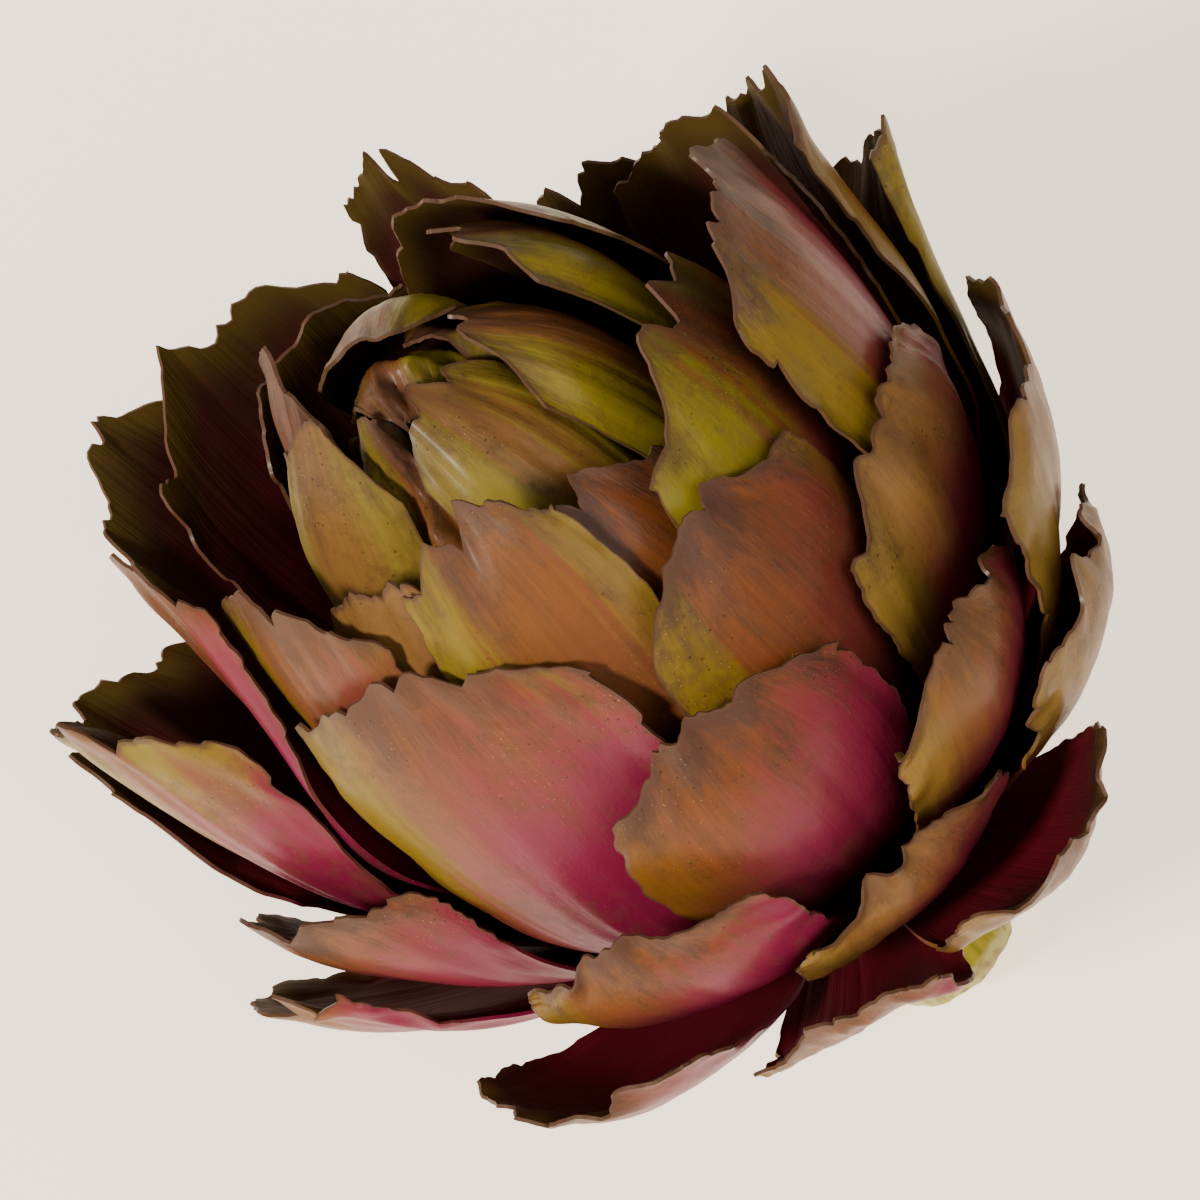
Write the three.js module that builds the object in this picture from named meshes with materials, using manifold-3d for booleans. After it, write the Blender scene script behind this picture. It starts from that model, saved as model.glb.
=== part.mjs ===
// A cut artichoke: a short stem, a bud of closed bracts, and whorls of bracts that spread round it.
// Millimetres, +Z up. It lies on the edge of its cut stem and on two of its lowest bracts,
// and the origin is under the middle of its box, on the surface that it lies on.
import * as THREE from 'three';
import { mergeVertices } from 'three/addons/utils/BufferGeometryUtils.js';
import Module from 'manifold-3d';

// Driving dimensions of the head, on its own axis: z is 0 where the stem meets the receptacle
const STEM_RADIUS = 9.7;
const STEM_LENGTH = 26.5;
const STEM_CHAMFER = 0.8;
const RECEPTACLE_RADIUS = 19;
const RECEPTACLE_TOP = 17;
const CORE_RADIUS = 8;
const CORE_TOP = 80;
const TURNED_SIDES = 20;

// How the head lies: its lean from upright, the side that it leans to, its heading,
// and how far the surface that it lies on is under the foot of the receptacle
const LEAN = 40.1;
const LOW_SIDE = -152.4;
const HEADING = 154;
const FOOT_HEIGHT = 25.8;
const GROUND_SIDE = 300;
const GROUND_DEPTH = 40;

// Bracts: the thickness at the root and at the rim, and the outline's shares of the half width
const ROOT_THICKNESS = 2.2;
const RIM_THICKNESS = 0.95;
const ROOT_WIDTH = 0.26;
const WIDEST_AT = 0.7;
const TIP_WIDTH = 0.62;
const TIP_ROUND = 0.1;
const RAGGED = 0.07;
const LAYER_GAP = 0.45;
const PIECE_GAP = 0.3;

// Each layer is kept outside those within it, as seen from this height on the axis
const CENTRE = new THREE.Vector3(0, 0, 40);
const CELLS = 90;
const CELL_REACH = 1;
const SAMPLE_STEP = 0.8;

// Grid steps along and across a bract
const FINE_GRID = [6, 8];
const PLAIN_GRID = [6, 6];

const rad = THREE.MathUtils.degToRad;

// A seeded draw between 0 and 1
function draw(n) {
  const x = Math.sin(n * 12.9898) * 43758.5453;
  return x - Math.floor(x);
}

// A bract has its azimuth, its root and tip as [radius, height], the slope of its midrib
// at root and tip, its half width and how far its halves cup, all angles in degrees
function bract(azimuth, root, tip, slopes, halfWidth, cup, more = {}) {
  return { azimuth, root, tip, slopes, halfWidth, cup, ...more };
}

// The bud's bracts, from the heart outwards
const budBracts = [
  bract(48, [9, 20], [4, 91], [80, 112], 9, 60, { blunt: 0.25 }),
  bract(-60, [9, 20], [-2, 91], [82, 112], 5, 60, { blunt: 0.3 }),
  bract(150, [11, 20], [-6, 87], [78, 190], 7, 60, { blunt: 0.4 }),
  bract(-98, [14, 19], [2, 93.4], [74, 128], 11, 58, { blunt: 0.2, turn: 12 }),
  bract(163, [13, 19], [-7, 89.5], [80, 195], 9, 60, { blunt: 0.4 }),
  bract(116, [14, 18], [3, 86], [78, 196], 11, 58, { blunt: 0.35 }),
  bract(-42, [15, 18], [4.9, 90], [74, 132], 10, 58, { blunt: 0.25 }),
  bract(23, [15, 18], [2, 88], [76, 150], 12, 55, { blunt: 0.35 }),
  bract(-82, [16, 17], [10, 93.5], [70, 126], 12, 56, { blunt: 0.3, turn: 26 }),
  bract(74, [16, 17], [9.4, 90], [74, 145], 12, 58, { blunt: 0.35 }),
  bract(160, [16, 17], [-1, 92], [78, 192], 12, 58, { blunt: 0.5 }),
  bract(-130, [16, 17], [10, 98], [64, 122], 10, 56, { blunt: 0.35, turn: 46 }),
  bract(104, [17, 16], [15, 94.9], [68, 146], 13, 56, { blunt: 0.45 }),
];

// The open bracts of each whorl, from the inner ones outwards
const whorls = {
  upper: [
    bract(12, [21, 15], [24, 79], [62, 125], 14, 48),
    bract(-48, [21, 15], [23, 82], [60, 118], 14, 48),
    bract(-15, [21, 15], [20, 83], [62, 125], 11.5, 50, { blunt: 0.5 }),
    bract(-73, [21, 14], [28, 86], [60, 108], 15, 46, { blunt: 0.75, turn: 14 }),
    bract(55, [21, 15], [31, 83], [58, 116], 23, 50),
    bract(128, [21, 15], [17, 90], [68, 128], 15, 48, { plain: true }),
    bract(-168, [21, 15], [19, 90], [62, 126], 16, 48, { plain: true }),
    bract(22, [21, 13], [36, 71], [40, 112], 18, 45),
  ],
  middle: [
    bract(-46, [20, 10], [30, 74], [25, 102], 22, 42),
    bract(72, [20, 11], [41.5, 89], [28, 106], 17.5, 42, { turn: -14 }),
    bract(110, [20, 10], [45.5, 77], [35, 92], 16, 50),
    bract(-104, [20, 10], [35.5, 91.5], [34, 94], 15, 58, { turn: 40 }),
    bract(-164, [20, 10], [46, 86], [35, 90], 22, 50),
    bract(157, [20, 10], [44.5, 87], [35, 88], 10, 52, { blunt: 0.3 }),
    bract(136, [20, 10], [34, 64], [38, 92], 15, 50),
    bract(54, [20, 9], [37, 56], [32, 120], 18, 48, { turn: -12 }),
    bract(-3, [20, 9], [42, 57.5], [22, 114], 19, 46),
  ],
  spread: [
    bract(-147, [17, 7], [54, 84], [30, 82], 16, 50),
    bract(100, [17, 7], [52, 77.5], [30, 78], 15, 70, { turn: -30, blunt: 0.6 }),
    bract(30, [16, 6], [49, 43], [15, 120], 17, 50, { foot: 0.4 }),
    bract(-102, [16, 6], [53, 80.5], [14, 96], 17, 62, { turn: 44 }),
    bract(-33, [16, 6], [47, 42], [8, 128], 18.5, 46, { foot: 0.5 }),
    bract(97, [15, 5], [58, 62], [14, 56], 13, 80, { turn: -40, blunt: 0.8 }),
    bract(66, [15, 5], [57, 49.5], [18, 92], 22, 60, { turn: 2, blunt: 0.85 }),
    bract(-123, [15, 5], [56.5, 65.5], [22, 78], 14, 50),
    bract(-90, [15, 5], [52, 48.5], [8, 98], 18, 54, { turn: 42 }),
    bract(160, [15, 5], [52, 55], [20, 85], 18, 50, { plain: true }),
    bract(-160, [15, 5], [54, 55], [20, 82], 18, 50, { plain: true }),
    bract(128, [15, 5], [50, 50], [20, 90], 17, 50, { plain: true }),
    bract(2, [14, 4], [45, 27.5], [4, 125], 17, 50, { foot: 0.45, turn: -10 }),
  ],
  low: [
    bract(47, [12, 3], [56, 34], [6, 100], 17, 58),
    bract(-96, [12, 2.5], [61, 36], [5, 84], 16, 68, { turn: 50 }),
    bract(18, [11.5, 2], [57, 19], [5, 80], 17, 58, { foot: 0.4 }),
    bract(-52, [11.5, 2], [58, 29.5], [4, 82], 18, 55, { foot: 0.4 }),
    bract(150, [11.5, 2], [54, 24], [4, 75], 17, 50, { plain: true }),
    bract(-152, [11.5, 2], [46, 34], [8, 90], 15, 50, { plain: true }),
    bract(90, [11.5, 2], [39, 18], [4, 90], 14, 50, { plain: true }),
    bract(-18, [11, 1.5], [50, 19], [2, 84], 13, 50, { foot: 0.5, blunt: 0.9 }),
    bract(-122, [11, 1.5], [62, 15], [0, 60], 16, 45, { plain: true }),
    bract(-182, [11, 1.5], [62, 15], [0, 60], 16, 45, { plain: true }),
  ],
};
const openBracts = Object.entries(whorls).flatMap(([whorl, bracts]) => (
  bracts.map((b, i) => ({ ...b, name: `${whorl}_bract_${i + 1}` }))
));
[...openBracts, ...budBracts].forEach((b, i) => { b.seed = i + 1; });

// The outline's share of the half width at u, from the root at 0 to the tip at 1
function widthShare(b, u) {
  const tip = b.blunt ?? TIP_WIDTH;
  const root = b.foot ?? ROOT_WIDTH;
  if (u < WIDEST_AT) {
    return root + (1 - root) * Math.sin(Math.PI / 2 * u / WIDEST_AT) ** 1.3;
  }
  return 1 - (1 - tip) * ((u - WIDEST_AT) / (1 - WIDEST_AT)) ** 2.2;
}

// How far along the bract its ragged tip edge lies, at v across it from -1 to 1
function tipEdge(b, v, column) {
  const tear = draw(b.seed * 17.3 + column * 3.1);
  return 1 - TIP_ROUND * Math.abs(v) ** 2.5 - RAGGED * tear;
}

// The midrib is a cubic from root to tip: its radius and height at t, and its slope there
function midrib(b, t) {
  const [r0, z0] = b.root;
  const [r3, z3] = b.tip;
  const length = Math.hypot(r3 - r0, z3 - z0);
  const [start, end] = b.slopes.map(rad);
  const r1 = r0 + 0.40 * length * Math.cos(start);
  const z1 = z0 + 0.40 * length * Math.sin(start);
  const r2 = r3 - 0.34 * length * Math.cos(end);
  const z2 = z3 - 0.34 * length * Math.sin(end);
  const s = 1 - t;
  const r = s ** 3 * r0 + 3 * s * s * t * r1 + 3 * s * t * t * r2 + t ** 3 * r3;
  const z = s ** 3 * z0 + 3 * s * s * t * z1 + 3 * s * t * t * z2 + t ** 3 * z3;
  const dr = s * s * (r1 - r0) + 2 * s * t * (r2 - r1) + t * t * (r3 - r2);
  const dz = s * s * (z1 - z0) + 2 * s * t * (z2 - z1) + t * t * (z3 - z2);
  const n = Math.hypot(dr, dz);
  return { r, z, dr: dr / n, dz: dz / n };
}

// A point of the bract's outer face at u along it and v across it
function outerPoint(b, u, v) {
  const { r, z, dr, dz } = midrib(b, u);
  const across = b.halfWidth * widthShare(b, u) * v;
  const bend = rad(b.cup) / b.halfWidth * (0.55 + 0.45 * u);
  const flatSide = Math.sin(bend * across) / bend;
  const flatRise = (1 - Math.cos(bend * across)) / bend;
  const turn = rad(b.turn ?? 0) * u;
  const side = flatSide * Math.cos(turn) - flatRise * Math.sin(turn);
  const rise = flatSide * Math.sin(turn) + flatRise * Math.cos(turn);
  const radius = r - dz * rise;
  const height = z + dr * rise;
  const a = rad(b.azimuth);
  return new THREE.Vector3(
    radius * Math.cos(a) - side * Math.sin(a),
    radius * Math.sin(a) + side * Math.cos(a),
    height,
  );
}

function thickness(u, v) {
  return RIM_THICKNESS + (ROOT_THICKNESS - RIM_THICKNESS) * (1 - u) ** 1.5 * (1 - 0.55 * v * v);
}

// Where a direction from the centre falls among the cells of the cushion
function cellOf(offset) {
  const polar = Math.acos(offset.z / offset.length());
  const azimuth = Math.atan2(offset.y, offset.x) + Math.PI;
  return {
    i: Math.min(CELLS - 1, Math.floor(polar / Math.PI * CELLS)),
    j: Math.floor(azimuth / Math.PI * CELLS) % (2 * CELLS),
    wide: Math.min(8, Math.ceil(CELL_REACH / Math.max(0.1, Math.sin(polar)))),
  };
}

// How far all that is made so far reaches near a direction
function reach(cushion, offset) {
  const { i, j, wide } = cellOf(offset);
  let farthest = 0;
  for (let di = -CELL_REACH; di <= CELL_REACH; di += 1) {
    const row = cushion[Math.max(0, Math.min(CELLS - 1, i + di))];
    for (let dj = -wide; dj <= wide; dj += 1) {
      farthest = Math.max(farthest, row[(j + dj + 2 * CELLS) % (2 * CELLS)]);
    }
  }
  return farthest;
}

// Adds a finished piece to the cushion, by points all over its faces
function addToCushion(cushion, geometry) {
  const p = geometry.getAttribute('position');
  const corner = (i) => new THREE.Vector3().fromBufferAttribute(p, geometry.index.getX(i)).sub(CENTRE);
  for (let f = 0; f < geometry.index.count; f += 3) {
    const [a, b, c] = [corner(f), corner(f + 1), corner(f + 2)];
    const longest = Math.max(a.distanceTo(b), b.distanceTo(c), c.distanceTo(a));
    const steps = Math.ceil(longest / SAMPLE_STEP);
    for (let m = 0; m <= steps; m += 1) {
      for (let n = 0; n <= steps - m; n += 1) {
        const point = a.clone().multiplyScalar(1 - (m + n) / steps);
        point.addScaledVector(b, m / steps).addScaledVector(c, n / steps);
        const { i, j } = cellOf(point);
        cushion[i][j] = Math.max(cushion[i][j], point.length());
      }
    }
  }
}

// The grid of a bract's outer face, with rows from root to tip
function outerGrid(b, [rows, columns]) {
  const grid = [];
  for (let i = 0; i <= rows; i += 1) {
    const row = [];
    for (let j = 0; j <= columns; j += 1) {
      const v = -1 + 2 * j / columns;
      row.push(outerPoint(b, tipEdge(b, v, j) * i / rows, v));
    }
    grid.push(row);
  }
  return grid;
}

// How far each point of a bract moves outwards to clear all that is within it
function pressOut(grid, cushion) {
  const rows = grid.length - 1;
  const columns = grid[0].length - 1;
  const steps = 3;
  const push = grid.map((row) => row.map(() => 0));
  for (let i = 0; i <= rows * steps; i += 1) {
    for (let j = 0; j <= columns * steps; j += 1) {
      const i0 = Math.min(rows - 1, Math.floor(i / steps));
      const j0 = Math.min(columns - 1, Math.floor(j / steps));
      const fi = i / steps - i0;
      const fj = j / steps - j0;
      const low = grid[i0][j0].clone().lerp(grid[i0][j0 + 1], fj);
      const high = grid[i0 + 1][j0].clone().lerp(grid[i0 + 1][j0 + 1], fj);
      const offset = low.lerp(high, fi).sub(CENTRE);
      const need = reach(cushion, offset) + LAYER_GAP - offset.length();
      for (const [di, dj] of [[0, 0], [1, 0], [0, 1], [1, 1]]) {
        const share = (di ? fi : 1 - fi) * (dj ? fj : 1 - fj);
        if (share > 0) push[i0 + di][j0 + dj] = Math.max(push[i0 + di][j0 + dj], need);
      }
    }
  }
  return push;
}

// Spreads the push so that the bract bends evenly
function evenOut(push) {
  const clamp = (k, count) => Math.max(0, Math.min(count - 1, k));
  const at = (i, j) => push[clamp(i, push.length)][clamp(j, push[0].length)];
  return push.map((row, i) => row.map((value, j) => {
    const mean = (at(i - 1, j) + at(i + 1, j) + at(i, j - 1) + at(i, j + 1)) / 4;
    return Math.max(value, mean);
  }));
}

// Closes a bract: the grid of its outer face, the inner face under it, and a rim between them.
// With room, it is that much larger on every side
function bractGeometry(grid, room = 0) {
  const rows = grid.length - 1;
  const columns = grid[0].length - 1;
  const outer = grid.map((row) => row.slice());
  const inner = grid.map((row, i) => row.map((point, j) => {
    const along = grid[Math.min(rows, i + 1)][j].clone().sub(grid[Math.max(0, i - 1)][j]);
    const across = grid[i][Math.min(columns, j + 1)].clone().sub(grid[i][Math.max(0, j - 1)]);
    const edge = point.clone();
    if (i === 0) edge.addScaledVector(along, -room / along.length());
    if (i === rows) edge.addScaledVector(along, room / along.length());
    if (j === 0) edge.addScaledVector(across, -room / across.length());
    if (j === columns) edge.addScaledVector(across, room / across.length());
    const inwards = along.cross(across).normalize();
    outer[i][j] = edge.clone().addScaledVector(inwards, -room);
    return edge.addScaledVector(inwards, room + thickness(i / rows, -1 + 2 * j / columns));
  }));
  const points = [...outer.flat(), ...inner.flat()];
  const outside = (i, j) => i * (columns + 1) + j;
  const inside = (i, j) => outside(i, j) + (rows + 1) * (columns + 1);
  const index = [];
  const quad = (a, b, c, d) => index.push(a, b, c, a, c, d);
  for (let i = 0; i < rows; i += 1) {
    for (let j = 0; j < columns; j += 1) {
      quad(inside(i, j), inside(i + 1, j), inside(i + 1, j + 1), inside(i, j + 1));
      index.push(outside(i, j), outside(i + 1, j + 1), outside(i + 1, j));
      index.push(outside(i, j), outside(i, j + 1), outside(i + 1, j + 1));
    }
  }
  for (let i = 0; i < rows; i += 1) {
    quad(outside(i, 0), outside(i + 1, 0), inside(i + 1, 0), inside(i, 0));
    quad(inside(i, columns), inside(i + 1, columns), outside(i + 1, columns), outside(i, columns));
  }
  for (let j = 0; j < columns; j += 1) {
    quad(inside(0, j), inside(0, j + 1), outside(0, j + 1), outside(0, j));
    quad(outside(rows, j), outside(rows, j + 1), inside(rows, j + 1), inside(rows, j));
  }
  const geometry = new THREE.BufferGeometry();
  const places = points.flatMap((p) => p.toArray());
  geometry.setAttribute('position', new THREE.Float32BufferAttribute(places, 3));
  geometry.setIndex(index);
  return geometry;
}

// The stem, the receptacle and the heart's core, turned on the axis as one body
function heartGeometry(room = 0) {
  const profile = [
    [0, -STEM_LENGTH], [STEM_RADIUS - STEM_CHAMFER, -STEM_LENGTH],
    [STEM_RADIUS, STEM_CHAMFER - STEM_LENGTH], [STEM_RADIUS - 0.3, -14], [STEM_RADIUS - 0.2, -5], [STEM_RADIUS, -1], [STEM_RADIUS + 1.5, 3],
    [STEM_RADIUS + 6, 8], [RECEPTACLE_RADIUS, 13], [RECEPTACLE_RADIUS, RECEPTACLE_TOP],
    [RECEPTACLE_RADIUS - 5, RECEPTACLE_TOP + 4], [CORE_RADIUS + 2, 30], [CORE_RADIUS, 50],
    [CORE_RADIUS * 0.6, 68], [0, CORE_TOP],
  ];
  const points = profile.map(([r, z]) => new THREE.Vector2(r === 0 ? 0 : r + room, z));
  return new THREE.LatheGeometry(points, TURNED_SIDES).rotateX(Math.PI / 2);
}

const wasm = await Module();
wasm.setup();

function toSolid(geometry) {
  const bare = geometry.clone();
  bare.deleteAttribute('normal');
  bare.deleteAttribute('uv');
  const merged = mergeVertices(bare, 1e-3);
  return new wasm.Manifold(new wasm.Mesh({
    numProp: 3,
    vertProperties: new Float32Array(merged.getAttribute('position').array),
    triVerts: new Uint32Array(merged.index.array),
  }));
}

function toGeometry(solid) {
  const mesh = solid.getMesh();
  const geometry = new THREE.BufferGeometry();
  geometry.setAttribute('position', new THREE.Float32BufferAttribute(mesh.vertProperties, 3));
  geometry.setIndex(Array.from(mesh.triVerts));
  return geometry;
}

const outerGreen = new THREE.MeshStandardMaterial({ color: 0x8a5a3c, roughness: 0.55, metalness: 0 });
const stemGreen = new THREE.MeshStandardMaterial({ color: 0x8f8f3a, roughness: 0.5, metalness: 0 });

// The largest shell of a solid alone: loose scraps go, and sealed hollows are filled
function outermost(solid) {
  return solid.decompose().sort((p, q) => q.volume() - p.volume())[0];
}

// The bud's bracts grow into the heart and make one body with it
function heartSolid(room) {
  let heart = toSolid(heartGeometry(room));
  for (const b of budBracts) {
    heart = heart.add(toSolid(bractGeometry(outerGrid(b, PLAIN_GRID), room)));
  }
  return outermost(heart);
}

// Trims a bract where it would still cross an earlier piece
function trim(solid, rooms) {
  let left = solid;
  for (const room of rooms) {
    if (left.intersect(room).volume() > 0) left = left.subtract(room);
  }
  return outermost(left);
}

const pose = new THREE.Matrix4().makeRotationZ(rad(HEADING));
pose.multiply(new THREE.Matrix4().makeRotationY(rad(LEAN)));
pose.multiply(new THREE.Matrix4().makeRotationZ(rad(-LOW_SIDE)));

// The ground that it lies on, seen from the head: what reaches into it is cut off flat
const ground = new THREE.BoxGeometry(GROUND_SIDE, GROUND_SIDE, GROUND_DEPTH);
ground.translate(0, 0, -GROUND_DEPTH / 2 - FOOT_HEIGHT);
ground.applyMatrix4(pose.clone().invert());
const under = toSolid(ground);

const head = new THREE.Group();
function addPiece(name, solid, material) {
  head.add(Object.assign(new THREE.Mesh(toGeometry(solid.subtract(under)), material), { name }));
}

const cushion = Array.from({ length: CELLS }, () => new Array(2 * CELLS).fill(0));
const stemAndBud = heartSolid(0);
const rooms = [heartSolid(PIECE_GAP)];
addToCushion(cushion, toGeometry(stemAndBud));
addPiece('stem_and_bud', stemAndBud, stemGreen);

for (const b of openBracts) {
  const grid = outerGrid(b, b.plain ? PLAIN_GRID : FINE_GRID);
  const push = evenOut(evenOut(pressOut(grid, cushion)));
  grid.forEach((row, i) => row.forEach((point, j) => {
    const direction = point.clone().sub(CENTRE).normalize();
    point.addScaledVector(direction, push[i][j]);
  }));
  const whole = bractGeometry(grid);
  addPiece(b.name, trim(toSolid(whole), rooms), outerGreen);
  rooms.push(toSolid(bractGeometry(grid, PIECE_GAP)));
  addToCushion(cushion, whole);
}

// The head lies down, and the whole moves so that the origin is under its middle
head.applyMatrix4(pose);
const part = new THREE.Group();
part.add(head);
const box = new THREE.Box3().setFromObject(part, true);
const middle = box.getCenter(new THREE.Vector3());
head.position.set(-middle.x, -middle.y, FOOT_HEIGHT);

export default part;
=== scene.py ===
"""A cut artichoke lying on a pale table: stem and heart, a closed bud, and spreading ragged bracts."""

import math

import bpy
import numpy as np
from mathutils import Matrix, Vector


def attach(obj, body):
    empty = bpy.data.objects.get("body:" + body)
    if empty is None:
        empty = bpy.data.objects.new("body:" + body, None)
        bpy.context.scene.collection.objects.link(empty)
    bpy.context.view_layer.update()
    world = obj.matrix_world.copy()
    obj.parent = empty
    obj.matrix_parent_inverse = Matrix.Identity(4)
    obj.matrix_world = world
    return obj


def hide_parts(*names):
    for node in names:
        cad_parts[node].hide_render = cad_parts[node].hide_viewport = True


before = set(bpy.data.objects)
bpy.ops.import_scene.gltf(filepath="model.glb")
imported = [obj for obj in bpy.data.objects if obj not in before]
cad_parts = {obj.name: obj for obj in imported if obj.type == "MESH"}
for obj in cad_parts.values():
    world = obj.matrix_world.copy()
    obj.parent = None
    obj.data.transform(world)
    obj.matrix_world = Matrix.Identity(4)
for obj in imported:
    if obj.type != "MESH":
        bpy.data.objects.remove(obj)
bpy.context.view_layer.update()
bpy.ops.object.select_all(action="DESELECT")

MM = 0.001

# The head on its own axis, in millimetres: z is 0 where the stem meets the receptacle
STEM_RADIUS = 9.7
STEM_LENGTH = 26.5
STEM_CHAMFER = 0.8
RECEPTACLE_RADIUS = 19
RECEPTACLE_TOP = 17
CORE_RADIUS = 8
CORE_TOP = 80
CENTRE = np.array([0.0, 0.0, 40.0])

# How the head lies: its lean, the side that it leans to, its heading and the place of its foot
LEAN = 40.1
LOW_SIDE = -152.4
HEADING = 154
FOOT = np.array([29.5505, -9.3532, 25.8])

# Bracts, as they are cut in the solids: their thickness, and how it falls along and across
ROOT_THICKNESS = 2.2
RIM_THICKNESS = 0.95
THINS_ALONG = 1.5
THINS_ACROSS = 0.55

# Their outline, in shares of the half width and of the length
ROOT_WIDTH = 0.26
WIDEST_AT = 0.7
WIDENS = 1.3
TIP_WIDTH = 0.62
NARROWS = 2.2
TIP_ROUND = 0.1
CORNER = 2.5
RAGGED = 0.07

# How far the midrib keeps its slope at the root and the tip, in shares of its length
ROOT_PULL = 0.40
TIP_PULL = 0.34

# The cup: its share at the root, and what it gains up to the tip
CUP_AT_ROOT = 0.55
CUP_GAINED = 0.45

# How the solids are kept apart: the gap, the cells of directions and the step between points
LAYER_GAP = 0.45
CELLS = 90
SAMPLE_STEP = 0.8
PRESS_STEPS = 3
OPEN_GRID = (6, 8)
PLAIN_GRID = (6, 6)

# The fine skin: its rows from root to tip, its columns, and its thickness at root and rim
ROWS = 64
COLUMNS = 46
SKIN_ROOT = 2.0
SKIN_RIM = 0.45

# Its relief, in mm: ribs, finer ribs, the midrib near the root, and dents
RIB = 0.10
FINE_RIB = 0.06
MIDRIB = 0.25
DENT = 0.4

# How the fine skins are kept apart, and clear of the table
SKIN_GAP = 0.1
SKIN_CELLS = 120
SKIN_STEP = 0.7
BUD_WALL = 0.9
OPEN_WALL = 0.8
EVEN_PASSES = 6
DEEPEST_SINK = 40
TABLE_GAP = 0.5

# The fine stem: its rows, its sides, its mean radius between ribs as a share, and its ribs
STEM_ROWS = 91
STEM_SIDES = 96
RIBBED_SHARE = 0.958
BROAD_RIBS = 9
BROAD_RIB_SHARE = 0.018
NARROW_RIBS = 23
NARROW_RIB_SHARE = 0.008


def draw(n):
    """A seeded draw between 0 and 1."""
    x = np.sin(np.asarray(n, float) * 12.9898) * 43758.5453
    return x - np.floor(x)


def noise(x, seed):
    """Smooth seeded waves along x, between -1 and 1."""
    cell = np.floor(x)
    part = x - cell
    part = part * part * (3 - 2 * part)
    low = draw(cell + 57.3 * seed)
    high = draw(cell + 1 + 57.3 * seed)
    return 2 * (low + (high - low) * part) - 1


def noise_2d(x, y, seed):
    """Smooth seeded waves over x and y, between -1 and 1."""
    row = np.floor(y)
    part = y - row
    part = part * part * (3 - 2 * part)
    low = noise(x, seed + 0.37 * row)
    high = noise(x, seed + 0.37 * (row + 1))
    return low + (high - low) * part


def ramp(x, low, high):
    """A smooth step from 0 at low to 1 at high."""
    t = np.clip((x - low) / (high - low), 0, 1)
    return t * t * (3 - 2 * t)


def bract(azimuth, root, tip, slopes, half_width, cup, **more):
    """A bract's azimuth, its root and tip as (radius, height), slopes, half width and cup."""
    return dict(azimuth=azimuth, root=root, tip=tip, slopes=slopes, half_width=half_width, cup=cup, **more)


# The bud's bracts, from the heart outwards
BUD = [
    bract(48, (9, 20), (4, 91), (80, 112), 9, 60, blunt=0.25),
    bract(-60, (9, 20), (-2, 91), (82, 112), 5, 60, blunt=0.3),
    bract(150, (11, 20), (-6, 87), (78, 190), 7, 60, blunt=0.4),
    bract(-98, (14, 19), (2, 93.4), (74, 128), 11, 58, blunt=0.2, turn=12),
    bract(163, (13, 19), (-7, 89.5), (80, 195), 9, 60, blunt=0.4),
    bract(116, (14, 18), (3, 86), (78, 196), 11, 58, blunt=0.35),
    bract(-42, (15, 18), (4.9, 90), (74, 132), 10, 58, blunt=0.25),
    bract(23, (15, 18), (2, 88), (76, 150), 12, 55, blunt=0.35),
    bract(-82, (16, 17), (10, 93.5), (70, 126), 12, 56, blunt=0.3, turn=26),
    bract(74, (16, 17), (9.4, 90), (74, 145), 12, 58, blunt=0.35),
    bract(160, (16, 17), (-1, 92), (78, 192), 12, 58, blunt=0.5),
    bract(-130, (16, 17), (10, 98), (64, 122), 10, 56, blunt=0.35, turn=46),
    bract(104, (17, 16), (15, 94.9), (68, 146), 13, 56, blunt=0.45),
]

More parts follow.
